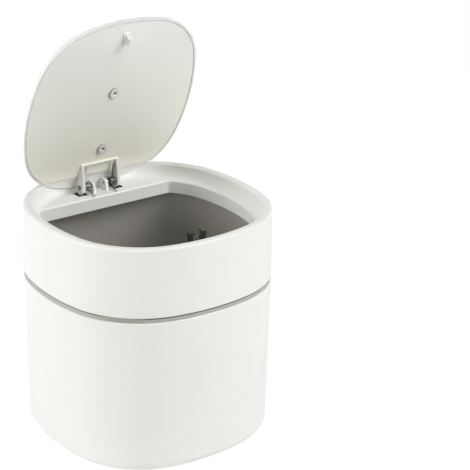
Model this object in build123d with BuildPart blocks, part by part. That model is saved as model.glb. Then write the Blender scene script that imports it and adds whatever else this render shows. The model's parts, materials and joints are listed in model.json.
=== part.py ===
from build123d import *
from math import atan2, cos, degrees, radians, sin, sqrt
import os

# Push-top countertop bin, shown with its lid sprung open.
# Frame: millimetres, +Z up, origin on the table under the middle of the body.
# The lid hinge runs along X at the back (+Y); the push latch is at the front (-Y).

# ---------------------------------------------------------------- body and bucket
HEIGHT = 161.8            # table to the crest of the collar
BODY_HALF = 80.0          # half width where body and collar meet
SIDE_RADIUS = 144.7       # the plan is a soft square: four long side arcs ...
CORNER_RADIUS = 61.2      # ... joined by four tangent corner arcs
WALL = 2.2
BODY_TOP = 110.8
BODY_TAPER = 1.2          # the body draws in this much at the table
BODY_FOOT_RADIUS = 7.0
BODY_HOLLOW_BEVEL = 3.6
BODY_FLOOR = 2.6
FOOT_RING_INSET = 14.0    # the base is hollowed inside this ring
FOOT_RING_DEPTH = 0.8
EDGE_BREAK = 0.5          # small bevel on moulded edges

SEAM = 3.6                # height of the bucket flange seen between body and collar
FLANGE_INSET = 1.0        # the flange edge stands in from the wall faces
FLANGE_WEB = 1.8
RING_INNER_INSET = 4.6    # locating ring that keys bucket, body and collar together
RING_OUTER_INSET = 2.8
RING_REACH = 3.0
BUCKET_TOP = 146.0
BUCKET_FOOT = 4.6
BUCKET_TOP_INSET = 8.8
BUCKET_FOOT_INSET = 14.0
BUCKET_WALL = 1.6
BUCKET_FOOT_BEVEL = 5.0

# ---------------------------------------------------------------- collar and its deck
CREST_LEAN = 1.05         # the collar leans in this much at its crest
CREST_RADIUS = 2.0
CREST_FLAT_INSET = 3.6    # the crest is level up to here, then dips inwards
CREST_DIP = 0.5
CREST_INNER_INSET = 6.8   # inner edge of the crest, where the funnel starts
CREST_BEVEL = 0.7
FUNNEL_LIP = 1.4          # the funnel starts this far below the rim
FUNNEL_STEEP = (0.5, 5.0)  # its first pull, inwards and down
FUNNEL_FLAT = (3.0, 0.6)  # its last pull, outwards and up from the deck
UNDER_FOOT = (3.2, 0.8)   # underside of the funnel, from the skirt and the top of the deck
UNDER_KNEE = (1.4, 6.6)   # and from the funnel's top and the rim
UNDER_HEAD = 1.9
FUNNEL_FOOT_INSET = 11.7  # the funnel runs out onto the deck here
CHANNEL_TOP = 159.8       # top of the hollow between wall and funnel
MOUTH_INSET = 12.6        # inside of the skirt round the waste mouth
MOUTH_CORNER_RADIUS = 4.0
SKIRT_FOOT = 142.2
SKIRT_WALL = 1.8
DECK_TOP = 151.5
DECK_THICKNESS = 1.8
DECK_FRONT = 50.1         # straight front edge of the hinge deck
MOUTH_BEVEL = 0.8

SLOT_INNER = 10.9         # deck slots that the arm toes dip into
SLOT_OUTER = 18.5
SLOT_FRONT = 57.2
SLOT_BACK = 66.0

# ---------------------------------------------------------------- hinge
PIVOT_Y = 61.2
PIVOT_Z = 156.4
OPEN_ANGLE = 70.0         # from closed to the open stop
PIN_RADIUS = 1.0
RUNNING_FIT = 0.05
PIN_INNER_END = 4.6
PIN_OUTER_END = 15.6
PIN_HEAD_RADIUS = 1.7
PIN_HEAD_LENGTH = 0.9
EAR_INNER = 4.2
EAR_THICKNESS = 2.0
EAR_BOSS_END = 8.4
EAR_EYE_RADIUS = 2.6
EAR_TIP = (64.2, 158.1)   # the ears lean back to a rounded tip
EAR_TIP_RADIUS = 1.2
EAR_BASE = (57.4, 67.4)
ARM_INNER = 13.3
ARM_THICKNESS = 2.0
ARM_EYE_RADIUS = 4.6
TOE_REACH = 6.0
TOE_LOW = -1.5
TOE_HIGH = 2.0
WIRE_SIDES = 6            # wire is drawn six-sided, to keep the coils light
COIL_RADIUS = 2.6
COIL_WIRE = 0.8
COIL_OUTER = 11.6
COIL_PITCH = 0.85
COIL_TURNS = 3
DECK_LEG_END = 51.4       # the fixed leg of the spring ends here on the deck
LEG_X = 12.65             # last turn and lid leg of the spring, beside the coil
LEG_RISE = 6.5            # the lid leg climbs at this angle to touch the panel
LEG_LENGTH = 12.0

# ---------------------------------------------------------------- lid (closed levels)
LID_HALF_X = 66.4
LID_HALF_Y = 68.2
LID_CENTRE_Y = -2.1
LID_SIDE_RADIUS = 127.0
LID_CORNER_RADIUS = 45.5
LIP_FOOT = 160.6
PANEL_FOOT = 160.8
PANEL_THICKNESS = 1.6
SKIN = 1.8
LIP_WIDTH = 1.4
PANEL_INSET = 1.8         # leaves a fine groove round the panel
LID_EDGE_RADIUS = 1.6
LID_CHORD = 54.5          # the panel ends on this line, in front of the hinge axis
CROSSBAR_Y = 40.9
CROSSBAR_WIDTH = 1.3
RIB_HEIGHT = 1.5
RIB_INNER = 9.4
RIB_THICKNESS = 1.5
STAKE_SPOTS = ((0, 33.1), (0, -13.5))
STAKE_RADIUS = 1.5
STAKE_HEAD_RADIUS = 2.9   # the stakes are headed over on the panel
STAKE_HEAD = 1.0
STAKE_HEAD_TAPER = 35.0
STAKE_EYE_RADIUS = 0.75
STAKE_EYE_DEPTH = 1.2
STRIKER_NECK = 1.2
STRIKER_HEAD = 2.4
STRIKER_BARB = 155.7
STRIKER_BEVEL = 0.3
STRIKER_FOOT = 153.9
STRIKER_PAD = 1.0
STRIKER_PAD_LENGTH = 8.0

# ---------------------------------------------------------------- push latch
LATCH_Y = -57.2
LATCH_TRAVEL = 2.8
JAW_SPLAY = 10.0          # each jaw stands open this far while the lid is open
JAW_PIN_X = 3.4
JAW_PIN_Z = 150.0
JAW_PIN_RADIUS = 0.8
JAW_WIDTH = 5.0
HOOK_INNER = 1.4          # hook tip from the middle plane when the jaws are shut
HOOK_UNDERSIDE = 9.0      # above the jaw pin
HOOK_HEIGHT = 1.0
JAW_INNER = 3.1
JAW_OUTER = 4.6
JAW_ROOT_RADIUS = 1.5
HOUSING_HALF_X = 8.6
HOUSING_HALF_Y = 6.5
HOUSING_WALL = 1.4
HOUSING_FOOT = 124.0
HOUSING_TOP = 150.0
CAP_THICKNESS = 1.6
SLIDER_HALF_X = 6.9
SLIDER_HALF_Y = 4.9
SLIDER_FOOT = 136.0
SLIDER_TOP = 151.9
PLATFORM_TOP = 153.4
PLATFORM_HALF = 1.7
JAW_SLOT_FOOT = 148.0
SLOT_PLAY = 0.1
SPRING_RADIUS = 2.7
SPRING_WIRE = 0.6
SPRING_TURNS = 5
SPRING_SIDES = 4
SPRING_SEAT = 5.0         # bore in the slider that takes the spring
POCKET_CLEARANCE = 0.1
POCKET_WALL = 1.2
POCKET_FLOOR = 1.6
SCREW_X = 5.4
SCREW_RADIUS = 0.9
SCREW_CLEARANCE = 0.2
SCREW_HEAD_RADIUS = 1.9
SCREW_HEAD = 1.2
SCREW_LENGTH = 7.0
SCREW_POST_RADIUS = 1.7
POST_INNER = 3.9
POST_HEIGHT = 6.8
FOLLOWER_X = 1.2
FOLLOWER_WIRE = 0.4
FOLLOWER_Z = 141.0
FOLLOWER_Y = 5.9
FOLLOWER_WINDOW = 1.6
CAM_DEPTH = 0.9
CAM_Z = 142.5
CAM_HEIGHT = 4.8
CAM_HALF = 1.9
HEART_HALF = 0.5
HEART_REACH = 1.4
HEART_NOTCH = 0.3

COLLAR_FOOT = BODY_TOP + SEAM
PIVOT = (PIVOT_Y, PIVOT_Z)
SCREW_SPOTS = ((-SCREW_X, LATCH_Y), (SCREW_X, LATCH_Y))
DECK_ROOT = DECK_TOP - DECK_THICKNESS / 2   # feet of the ears reach into the deck
PANEL_TOP = PANEL_FOOT + PANEL_THICKNESS
LID_TOP = PANEL_TOP + SKIN
POCKET_FOOT = HOUSING_FOOT - POCKET_FLOOR
SPRING_LENGTH = SLIDER_FOOT + SPRING_SEAT - HOUSING_FOOT - CAP_THICKNESS
FAR = 2 * BODY_HALF

# Everything on the lid is drawn closed and placed through this turn about the hinge.
OPEN_TURN = (
    Location((0, PIVOT_Y, PIVOT_Z))
    * Location((0, 0, 0), (-OPEN_ANGLE, 0, 0))
    * Location((0, -PIVOT_Y, -PIVOT_Z))
)


def opened(plane):
    """Return a plane of the closed lid where the open lid carries it."""
    return Plane(OPEN_TURN * plane.location)


LID_NORMAL = Axis((0, 0, 0), opened(Plane.XY).z_dir)


# ---------------------------------------------------------------- shared outlines
def soft_square_arcs(half_x, half_y, side_radius, corner_radius):
    """Return centre, radius, start and span of the eight arcs of a soft square."""
    side_x = half_x - side_radius
    side_y = half_y - side_radius
    apart = sqrt(side_x**2 + side_y**2)
    reach = sqrt((side_radius - corner_radius) ** 2 - (apart / 2) ** 2)
    corner_x = side_x / 2 - reach * side_y / apart
    corner_y = side_y / 2 - reach * side_x / apart
    tilt_x = degrees(atan2(corner_y, corner_x - side_x))
    tilt_y = degrees(atan2(corner_x, corner_y - side_y))
    turn = 90 - tilt_x - tilt_y
    return [
        ((side_x, 0), side_radius, -tilt_x, 2 * tilt_x),
        ((corner_x, corner_y), corner_radius, tilt_x, turn),
        ((0, side_y), side_radius, 90 - tilt_y, 2 * tilt_y),
        ((-corner_x, corner_y), corner_radius, 90 + tilt_y, turn),
        ((-side_x, 0), side_radius, 180 - tilt_x, 2 * tilt_x),
        ((-corner_x, -corner_y), corner_radius, 180 + tilt_x, turn),
        ((0, -side_y), side_radius, 270 - tilt_y, 2 * tilt_y),
        ((corner_x, -corner_y), corner_radius, 270 + tilt_y, turn),
    ]


def body_face(inset):
    """Return the plan of body and collar, drawn in by an inset."""
    half = BODY_HALF - inset
    with BuildSketch() as plan:
        with BuildLine():
            for arc in soft_square_arcs(half, half, SIDE_RADIUS - inset, CORNER_RADIUS - inset):
                CenterArc(*arc)
        make_face()
    return plan.sketch


def lid_face(inset):
    """Return the plan of the closed lid, drawn in by an inset."""
    with BuildSketch() as plan:
        with BuildLine():
            for centre, radius, start, span in soft_square_arcs(
                LID_HALF_X - inset,
                LID_HALF_Y - inset,
                LID_SIDE_RADIUS - inset,
                LID_CORNER_RADIUS - inset,
            ):
                CenterArc((centre[0], centre[1] + LID_CENTRE_Y), radius, start, span)
        make_face()
    return plan.sketch


def body_spine():
    """Return the full-size plan as one wire that starts at the middle of the +X side."""
    arcs = soft_square_arcs(BODY_HALF, BODY_HALF, SIDE_RADIUS, CORNER_RADIUS)
    centre, radius, start, span = arcs[0]
    with BuildLine() as spine:
        CenterArc(centre, radius, 0, span / 2)
        for arc in arcs[1:]:
            CenterArc(*arc)
        CenterArc(centre, radius, start, span / 2)
    return spine.wire()


def tub(low, low_inset, high, high_inset, foot_bevel):
    """Return a solid tub: its plan changes evenly with height and its foot is bevelled."""
    with BuildPart() as block:
        with BuildSketch(Plane.XY.offset(low)):
            add(body_face(low_inset))
        with BuildSketch(Plane.XY.offset(high)):
            add(body_face(high_inset))
        loft(ruled=True)
        chamfer(block.edges().group_by(Axis.Z)[0], foot_bevel)
    return block.part


def mouth_face(grow):
    """Return the D-shaped mouth of the collar, grown outwards."""
    with BuildSketch() as mouth:
        add(body_face(MOUTH_INSET - grow))
        with Locations((0, DECK_FRONT + grow)):
            Rectangle(FAR, FAR, align=(Align.CENTER, Align.MAX), mode=Mode.INTERSECT)
        fillet(mouth.vertices().group_by(Axis.Y)[-1], MOUTH_CORNER_RADIUS + grow)
    return mouth.sketch


def wire_along(path, radius, sides=WIRE_SIDES, coiled=False):
    """Add wire of a light polygonal section along a path, which may be a coil."""
    with BuildSketch(Plane(path @ 0, z_dir=path % 0)) as gauge:
        RegularPolygon(radius, sides)
    sweep(sections=gauge.sketch, path=path, is_frenet=coiled)


def write(piece, name):
    """Label a finished piece and save it under its node name."""
    piece.label = name
    export_step(piece, f"parts/{name}.step")


os.makedirs("parts", exist_ok=True)


# ---------------------------------------------------------------- outer body
body_hollow = tub(BODY_FLOOR, BODY_TAPER + WALL, BODY_TOP, WALL, BODY_HOLLOW_BEVEL)

with BuildPart() as outer_body:
    with BuildSketch():
        add(body_face(BODY_TAPER))
    with BuildSketch(Plane.XY.offset(BODY_TOP)):
        add(body_face(0))
    loft(ruled=True)
    fillet(outer_body.edges().group_by(Axis.Z)[0], BODY_FOOT_RADIUS)
    add(body_hollow, mode=Mode.SUBTRACT)
    chamfer(outer_body.edges().group_by(Axis.Z)[-1], EDGE_BREAK)
    with BuildSketch():
        add(body_face(FOOT_RING_INSET))
    extrude(amount=FOOT_RING_DEPTH, mode=Mode.SUBTRACT)

write(outer_body.part, "outer_body")


# ---------------------------------------------------------------- inner bucket
bucket_hollow = tub(
    BUCKET_FOOT + BUCKET_WALL,
    BUCKET_FOOT_INSET + BUCKET_WALL,
    BUCKET_TOP,
    BUCKET_TOP_INSET + BUCKET_WALL,
    BUCKET_FOOT_BEVEL - BUCKET_WALL / 2,
)
ring_in = BODY_HALF - RING_INNER_INSET
ring_out = BODY_HALF - RING_OUTER_INSET
flange_rim = BODY_HALF - FLANGE_INSET
flange_root = BODY_HALF - BUCKET_TOP_INSET - BUCKET_WALL
web_top = BODY_TOP + (SEAM + FLANGE_WEB) / 2
web_foot = web_top - FLANGE_WEB

with BuildPart() as inner_bucket:
    add(tub(BUCKET_FOOT, BUCKET_FOOT_INSET, BUCKET_TOP, BUCKET_TOP_INSET, BUCKET_FOOT_BEVEL))
    with BuildSketch(Plane.XZ) as flange:
        with BuildLine():
            Polyline(
                (flange_root, web_foot),
                (ring_in, web_foot),
                (ring_in, BODY_TOP - RING_REACH),
                (ring_out, BODY_TOP - RING_REACH),
                (ring_out, BODY_TOP),
                (flange_rim, BODY_TOP),
                (flange_rim, COLLAR_FOOT - 2 * EDGE_BREAK),
                (flange_rim - EDGE_BREAK, COLLAR_FOOT),
                (ring_out, COLLAR_FOOT),
                (ring_out, COLLAR_FOOT + RING_REACH),
                (ring_in, COLLAR_FOOT + RING_REACH),
                (ring_in, web_top),
                (flange_root, web_top),
                close=True,
            )
        make_face()
        chamfer(flange.vertices().group_by(Axis.Y)[-1], EDGE_BREAK)
        chamfer(flange.vertices().group_by(Axis.Y)[0], EDGE_BREAK)
    sweep(path=body_spine())
    add(bucket_hollow, mode=Mode.SUBTRACT)
    chamfer(inner_bucket.edges().group_by(Axis.Z)[-1], EDGE_BREAK)

write(inner_bucket.part, "inner_bucket")


# ---------------------------------------------------------------- collar
crest_half = BODY_HALF - CREST_LEAN
funnel_top = BODY_HALF - CREST_INNER_INSET
funnel_foot = BODY_HALF - FUNNEL_FOOT_INSET
skirt_in = BODY_HALF - MOUTH_INSET
skirt_out = skirt_in + SKIRT_WALL
pocket_x = HOUSING_HALF_X + POCKET_CLEARANCE
pocket_y = HOUSING_HALF_Y + POCKET_CLEARANCE
pocket_front = LATCH_Y - pocket_y - POCKET_WALL

with BuildPart() as collar:
    with BuildSketch(Plane.XZ) as collar_section:
        with BuildLine():
            Line((BODY_HALF, COLLAR_FOOT), (crest_half, HEIGHT))
            Polyline(
                (crest_half, HEIGHT),
                (BODY_HALF - CREST_FLAT_INSET, HEIGHT),
                (funnel_top, HEIGHT - CREST_DIP),
                (funnel_top, HEIGHT - FUNNEL_LIP),
            )
            Bezier(
                (funnel_top, HEIGHT - FUNNEL_LIP),
                (funnel_top - FUNNEL_STEEP[0], HEIGHT - FUNNEL_LIP - FUNNEL_STEEP[1]),
                (funnel_foot + FUNNEL_FLAT[0], DECK_TOP + FUNNEL_FLAT[1]),
                (funnel_foot, DECK_TOP),
            )
            Polyline(
                (funnel_foot, DECK_TOP),
                (skirt_in, DECK_TOP),
                (skirt_in, SKIRT_FOOT),
                (skirt_out, SKIRT_FOOT),
                (skirt_out, DECK_TOP - DECK_THICKNESS),
                (skirt_out + UNDER_FOOT[0], DECK_TOP - UNDER_FOOT[1]),
                (funnel_top + UNDER_KNEE[0], HEIGHT - UNDER_KNEE[1]),
                (funnel_top + UNDER_HEAD, CHANNEL_TOP),
                (crest_half - WALL, CHANNEL_TOP),
                (BODY_HALF - WALL, COLLAR_FOOT),
                (BODY_HALF, COLLAR_FOOT),
            )
        make_face()
        fillet(collar_section.vertices().group_by(Axis.Y)[-1].sort_by(Axis.X)[-1], CREST_RADIUS)
        crest_inner = (funnel_top, HEIGHT - CREST_DIP)
        chamfer(collar_section.vertices().sort_by_distance(crest_inner)[0], CREST_BEVEL)
        chamfer(collar_section.vertices().group_by(Axis.Y)[0], EDGE_BREAK)
    sweep(path=body_spine())
    with BuildSketch(Plane.XY.offset(DECK_TOP - DECK_THICKNESS)):
        add(body_face(FUNNEL_FOOT_INSET))
        add(mouth_face(0), mode=Mode.SUBTRACT)
    extrude(amount=DECK_THICKNESS)
    with BuildSketch(Plane.XY.offset(SKIRT_FOOT)):
        add(mouth_face(SKIRT_WALL))
        add(mouth_face(0), mode=Mode.SUBTRACT)
    extrude(amount=DECK_TOP - SKIRT_FOOT)
    deck_faces = collar.faces().filter_by(Axis.Z).filter_by_position(
        Axis.Z, DECK_TOP - EDGE_BREAK, DECK_TOP + EDGE_BREAK
    )
    chamfer(deck_faces.sort_by(SortBy.AREA)[-1].inner_wires()[0].edges(), MOUTH_BEVEL)
    for side in (-1, 1):
        with BuildSketch(Plane.XY.offset(DECK_TOP)):
            with Locations((side * (SLOT_INNER + SLOT_OUTER) / 2, (SLOT_FRONT + SLOT_BACK) / 2)):
                RectangleRounded(SLOT_OUTER - SLOT_INNER, SLOT_BACK - SLOT_FRONT, EDGE_BREAK)
        extrude(amount=-DECK_THICKNESS, mode=Mode.SUBTRACT)
        with BuildSketch(Plane.YZ.offset(side * EAR_INNER)):
            with BuildLine():
                CenterArc(PIVOT, EAR_EYE_RADIUS, 0, 360)
                CenterArc(EAR_TIP, EAR_TIP_RADIUS, 0, 360)
                Line((EAR_BASE[0], DECK_ROOT), (EAR_BASE[1], DECK_ROOT))
            make_hull()
        extrude(amount=side * EAR_THICKNESS)
        with BuildSketch(Plane.YZ.offset(side * EAR_INNER)):
            with BuildLine():
                CenterArc(PIVOT, EAR_EYE_RADIUS, 0, 360)
                Line(
                    (PIVOT_Y - EAR_EYE_RADIUS, DECK_ROOT),
                    (PIVOT_Y + EAR_EYE_RADIUS, DECK_ROOT),
                )
            make_hull()
        extrude(amount=side * (EAR_BOSS_END - EAR_INNER))
        with BuildSketch(Plane.YZ.offset(side * EAR_INNER)):
            with Locations(PIVOT):
                Circle(PIN_RADIUS + RUNNING_FIT)
        extrude(amount=side * (EAR_BOSS_END - EAR_INNER), mode=Mode.SUBTRACT)
write(collar.part, "collar")


# ---------------------------------------------------------------- latch pocket
# Moulded in one with the collar, from whose skirt it hangs.
with BuildPart() as latch_pocket:
    with Locations((0, LATCH_Y, HOUSING_TOP)):
        Box(
            2 * pocket_x + 2 * POCKET_WALL,
            2 * pocket_y + 2 * POCKET_WALL,
            HOUSING_TOP - POCKET_FOOT,
            align=(Align.CENTER, Align.CENTER, Align.MAX),
        )
        Box(
            2 * pocket_x,
            2 * pocket_y,
            HOUSING_TOP - HOUSING_FOOT,
            align=(Align.CENTER, Align.CENTER, Align.MAX),
            mode=Mode.SUBTRACT,
        )
    with BuildSketch(Plane.XY.offset(SKIRT_FOOT)):
        with Locations((0, pocket_front)):
            Rectangle(2 * pocket_x + 2 * POCKET_WALL, FAR, align=(Align.CENTER, Align.MAX))
            Rectangle(2 * pocket_x, FAR, align=(Align.CENTER, Align.MAX), mode=Mode.SUBTRACT)
        add(mouth_face(0), mode=Mode.INTERSECT)
    extrude(amount=HOUSING_TOP - SKIRT_FOOT)
    with BuildSketch(Plane.XY.offset(HOUSING_TOP - POCKET_FLOOR)):
        with Locations((0, pocket_front)):
            Rectangle(2 * pocket_x, FAR, align=(Align.CENTER, Align.MAX))
        add(mouth_face(0), mode=Mode.INTERSECT)
    extrude(amount=POCKET_FLOOR)
    with BuildSketch(Plane.XY.offset(POCKET_FOOT)):
        with Locations(*SCREW_SPOTS):
            Circle(SCREW_RADIUS + SCREW_CLEARANCE)
    extrude(amount=POCKET_FLOOR, mode=Mode.SUBTRACT)

write(latch_pocket.part, "latch_pocket")


# ---------------------------------------------------------------- hinge pins and springs
with BuildPart() as hinge_pin_right:
    with BuildSketch(Plane.YZ.offset(PIN_INNER_END)):
        with Locations(PIVOT):
            Circle(PIN_RADIUS)
    extrude(amount=PIN_OUTER_END - PIN_INNER_END)
    with BuildSketch(Plane.YZ.offset(PIN_OUTER_END)):
        with Locations(PIVOT):
            Circle(PIN_HEAD_RADIUS)
    extrude(amount=PIN_HEAD_LENGTH)
    chamfer(hinge_pin_right.edges().group_by(Axis.X)[-1], PIN_HEAD_LENGTH / 2)

# The coil winds inwards and leaves forwards under the pin; its leg rests on the deck.
with BuildPart() as hinge_spring_right:
    with BuildLine() as coil_path:
        Helix(
            COIL_PITCH,
            COIL_PITCH * COIL_TURNS,
            COIL_RADIUS,
            center=(COIL_OUTER, PIVOT_Y, PIVOT_Z),
            direction=(-1, 0, 0),
        )
    coil = coil_path.wire()
    wire_along(coil, COIL_WIRE / 2, coiled=True)
    coil_end = coil @ 1
    with BuildLine() as deck_leg:
        Line(coil_end, (coil_end.X, DECK_LEG_END, DECK_TOP + COIL_WIRE / 2 + RUNNING_FIT))
    wire_along(deck_leg.wire(), COIL_WIRE / 2)
    with Locations(coil_end):
        Sphere(COIL_WIRE / 2)

# The last turn belongs to the lid: it circles the pin, then lies along the panel.
with BuildPart() as hinge_spring_leg_right:
    with BuildLine(opened(Plane.YZ.offset(LEG_X))) as lid_leg:
        CenterArc(PIVOT, COIL_RADIUS, -180, 270 - LEG_RISE)
        leg_start = (
            PIVOT_Y + COIL_RADIUS * sin(radians(LEG_RISE)),
            PIVOT_Z + COIL_RADIUS * cos(radians(LEG_RISE)),
        )
        PolarLine(leg_start, LEG_LENGTH, angle=180 - LEG_RISE)
    wire_along(lid_leg.wire(), COIL_WIRE / 2)

for name, right in (
    ("hinge_pin", hinge_pin_right),
    ("hinge_spring", hinge_spring_right),
    ("hinge_spring_leg", hinge_spring_leg_right),
):
    with BuildPart() as left:
        mirror(right.part, about=Plane.YZ)
    write(right.part, f"{name}_right")
    write(left.part, f"{name}_left")


# ---------------------------------------------------------------- lid cover
with BuildPart() as lid_cover:
    with BuildSketch(opened(Plane.XY.offset(LIP_FOOT))):
        add(lid_face(0))
    extrude(amount=LID_TOP - LIP_FOOT)
    fillet(lid_cover.edges().group_by(LID_NORMAL)[-1], LID_EDGE_RADIUS)
    with BuildSketch(opened(Plane.XY.offset(LIP_FOOT))):
        add(lid_face(LIP_WIDTH))
        with Locations((0, LID_CHORD)):
            Rectangle(FAR, FAR, align=(Align.CENTER, Align.MIN))
    extrude(amount=PANEL_TOP - LIP_FOOT, mode=Mode.SUBTRACT)
    with BuildSketch(opened(Plane.XY.offset(PANEL_TOP))):
        with Locations(*STAKE_SPOTS):
            Circle(STAKE_RADIUS)
    extrude(amount=-PANEL_THICKNESS)
    with BuildSketch(opened(Plane.XY.offset(PANEL_FOOT))):
        with Locations(*STAKE_SPOTS):
            Circle(STAKE_HEAD_RADIUS)
    extrude(amount=-STAKE_HEAD, taper=STAKE_HEAD_TAPER)
    with BuildSketch(opened(Plane.XY.offset(PANEL_FOOT - STAKE_HEAD))):
        with Locations(*STAKE_SPOTS):
            Circle(STAKE_EYE_RADIUS)
    extrude(amount=STAKE_EYE_DEPTH, mode=Mode.SUBTRACT)

write(lid_cover.part, "lid_cover")


# ---------------------------------------------------------------- lid panel and its arms
with BuildPart() as lid_panel:
    with BuildSketch(opened(Plane.XY.offset(PANEL_FOOT))):
        add(lid_face(PANEL_INSET))
        with Locations((0, LID_CHORD)):
            Rectangle(FAR, FAR, align=(Align.CENTER, Align.MAX), mode=Mode.INTERSECT)
    extrude(amount=PANEL_THICKNESS)
    with BuildSketch(opened(Plane.XY.offset(PANEL_FOOT - RIB_HEIGHT))):
        with Locations((0, CROSSBAR_Y)):
            Rectangle(
                2 * (ARM_INNER + ARM_THICKNESS),
                CROSSBAR_WIDTH,
                align=(Align.CENTER, Align.MIN),
            )
        for side in (-1, 1):
            with Locations((side * (RIB_INNER + RIB_THICKNESS / 2), CROSSBAR_Y)):
                Rectangle(RIB_THICKNESS, LID_CHORD - CROSSBAR_Y, align=(Align.CENTER, Align.MIN))
    extrude(amount=RIB_HEIGHT)
    for side in (-1, 1):
        with BuildSketch(opened(Plane.YZ.offset(side * ARM_INNER))):
            with BuildLine():
                CenterArc(PIVOT, ARM_EYE_RADIUS, 0, 360)
                Line((CROSSBAR_Y, PANEL_FOOT - RIB_HEIGHT), (CROSSBAR_Y, PANEL_FOOT))
            make_hull()
            with Locations((PIVOT_Y, PIVOT_Z + TOE_LOW)):
                Rectangle(TOE_REACH, TOE_HIGH - TOE_LOW, align=(Align.MIN, Align.MIN))
            with Locations(PIVOT):
                Circle(PIN_RADIUS + RUNNING_FIT, mode=Mode.SUBTRACT)
        extrude(amount=side * ARM_THICKNESS)
    with BuildSketch(opened(Plane.XY.offset(PANEL_FOOT))):
        with Locations(*STAKE_SPOTS):
            Circle(STAKE_RADIUS + RUNNING_FIT)
    extrude(amount=PANEL_THICKNESS, mode=Mode.SUBTRACT)

write(lid_panel.part, "lid_panel")


# ---------------------------------------------------------------- striker
with BuildPart() as striker:
    with BuildSketch(opened(Plane.XZ.offset(-LATCH_Y))):
        with BuildLine():
            Polyline(
                (STRIKER_NECK, PANEL_FOOT),
                (STRIKER_NECK, STRIKER_BARB + STRIKER_BEVEL),
                (STRIKER_HEAD, STRIKER_BARB),
                (STRIKER_HEAD, STRIKER_BARB - STRIKER_BEVEL),
                (STRIKER_NECK, STRIKER_FOOT),
                (-STRIKER_NECK, STRIKER_FOOT),
                (-STRIKER_HEAD, STRIKER_BARB - STRIKER_BEVEL),
                (-STRIKER_HEAD, STRIKER_BARB),
                (-STRIKER_NECK, STRIKER_BARB + STRIKER_BEVEL),
                (-STRIKER_NECK, PANEL_FOOT),
                close=True,
            )
        make_face()
    extrude(amount=JAW_WIDTH / 2, both=True)
    with BuildSketch(opened(Plane.XY.offset(PANEL_FOOT))):
        with Locations((0, LATCH_Y)):
            RectangleRounded(2 * STRIKER_HEAD, STRIKER_PAD_LENGTH, EDGE_BREAK)
    extrude(amount=-STRIKER_PAD)

write(striker.part, "striker")


# ---------------------------------------------------------------- latch housing
floor_top = HOUSING_FOOT + CAP_THICKNESS
slot_y = HOUSING_HALF_Y - HOUSING_WALL

with BuildPart() as latch_housing:
    with BuildSketch(Plane.XY.offset(floor_top)):
        with Locations((0, LATCH_Y)):
            RectangleRounded(2 * HOUSING_HALF_X, 2 * HOUSING_HALF_Y, HOUSING_WALL)
            Rectangle(
                2 * (HOUSING_HALF_X - HOUSING_WALL),
                2 * slot_y,
                mode=Mode.SUBTRACT,
            )
    extrude(amount=HOUSING_TOP - floor_top)
    with BuildSketch(Plane.XY.offset(floor_top)):
        for side in (-1, 1):
            with Locations((side * POST_INNER, LATCH_Y)):
                Rectangle(
                    HOUSING_HALF_X - POST_INNER - HOUSING_WALL / 2,
                    2 * SCREW_POST_RADIUS,
                    align=(Align.MIN if side > 0 else Align.MAX, Align.CENTER),
                )
        with Locations(*SCREW_SPOTS):
            Circle(SCREW_RADIUS + RUNNING_FIT, mode=Mode.SUBTRACT)
    extrude(amount=POST_HEIGHT)
    # A window in the rear wall holds the cam follower.
    with Locations((FOLLOWER_X, LATCH_Y + slot_y - RUNNING_FIT, floor_top)):
        Box(
            FOLLOWER_WINDOW,
            HOUSING_WALL + 2 * RUNNING_FIT,
            FOLLOWER_Z + FOLLOWER_WINDOW - floor_top,
            align=(Align.CENTER, Align.MIN, Align.MIN),
            mode=Mode.SUBTRACT,
        )

write(latch_housing.part, "latch_housing")

with BuildPart() as latch_cap:
    with BuildSketch(Plane.XY.offset(HOUSING_FOOT)):
        with Locations((0, LATCH_Y)):
            RectangleRounded(2 * HOUSING_HALF_X, 2 * HOUSING_HALF_Y, HOUSING_WALL)
        with Locations(*SCREW_SPOTS):
            Circle(SCREW_RADIUS + SCREW_CLEARANCE, mode=Mode.SUBTRACT)
        with Locations((FOLLOWER_X, LATCH_Y + FOLLOWER_Y)):
            Circle(FOLLOWER_WIRE + RUNNING_FIT, mode=Mode.SUBTRACT)
    extrude(amount=CAP_THICKNESS)

write(latch_cap.part, "latch_cap")


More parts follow.
